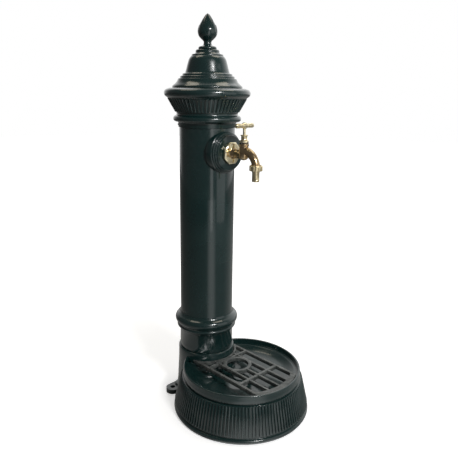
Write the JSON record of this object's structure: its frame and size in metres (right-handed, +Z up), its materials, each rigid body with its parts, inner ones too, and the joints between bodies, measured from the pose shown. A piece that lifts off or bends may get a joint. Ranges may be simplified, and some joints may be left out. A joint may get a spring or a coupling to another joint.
{
  "type": "drinking fountain",
  "caption": "Cast-iron standpipe drinking fountain: round ribbed basin with lift-out grille, column with bell cap and finial, and a brass bib tap.",
  "frame": {"origin": "on the ground, in the middle of the footprint's bounding box", "axes": "+Z up the column; the tap and the basin are on the -Y side; the object is symmetric across X=0"},
  "size_m": [0.376, 0.449, 1.05],
  "materials": {
    "enamel": "gloss",
    "grille_paint": "satin",
    "brass": "polished",
    "steel": "zinc plated",
    "copper": "drawn tube",
    "rubber": "matt"
  },
  "bodies": {
    "root": {"basin_casting": "enamel", "column_shaft": "enamel", "capital": "enamel", "bell_cap": "enamel", "finial": "enamel", "waste_strainer": "enamel", "waste_backnut": "brass", "riser_elbow": "brass", "riser_nut": "brass", "inlet_coupling": "brass", "tap_flange": "brass", "flange_screw_upper": "brass", "flange_screw_lower": "brass", "tap_body": "brass", "headwork": "brass", "gland_nut": "brass", "column_bolt_1": "steel", "column_bolt_2": "steel", "column_bolt_3": "steel", "column_nut_1": "steel", "column_nut_2": "steel", "column_nut_3": "steel", "capital_screw_left": "steel", "capital_screw_right": "steel", "bridge_bar": "steel", "tie_rod": "steel", "tie_rod_washer": "steel", "tie_rod_nut": "steel", "riser_pipe": "copper", "waste_pipe": "copper", "waste_seal": "rubber", "flange_gasket": "rubber", "headwork_washer": "rubber", "gland_packing": "rubber"},
    "grille": {"grille": "grille_paint"},
    "jumper": {"jumper_valve": "brass", "jumper_washer": "rubber", "jumper_nut": "brass"},
    "spindle": {"tap_spindle": "brass", "tap_handle": "brass"},
    "hose_tail": {"hose_tail": "brass", "hose_washer": "rubber"},
    "union_nut": {"union_nut": "brass"}
  },
  "joints": [
    {"name": "grille_lift", "type": "slide", "parent": "root", "child": "grille", "axis": [0, 0, 1], "range_m": [0, 0.06]},
    {"name": "jumper_lift", "type": "slide", "parent": "root", "child": "jumper", "axis": [0, 0, 1], "range_m": [0, 0.00403]},
    {"name": "spindle_turn", "type": "hinge", "parent": "jumper", "child": "spindle", "pos_m": [0, -0.028, 0.777], "axis": [0, 0, 1], "range_deg": [0, 630]},
    {"name": "tail_slide", "type": "slide", "parent": "root", "child": "hose_tail", "axis": [0, 0, -1], "range_m": [0, 0.00635]},
    {"name": "union_nut_turn", "type": "hinge", "parent": "hose_tail", "child": "union_nut", "pos_m": [0, -0.0705, 0.675], "axis": [0, 0, -1], "range_deg": [0, 1260]}
  ],
  "couplings": [
    {"joint": "jumper_lift", "follows": "spindle_turn", "m_per_rad": 0.00036606},
    {"joint": "tail_slide", "follows": "union_nut_turn", "m_per_rad": 0.00028871}
  ]
}
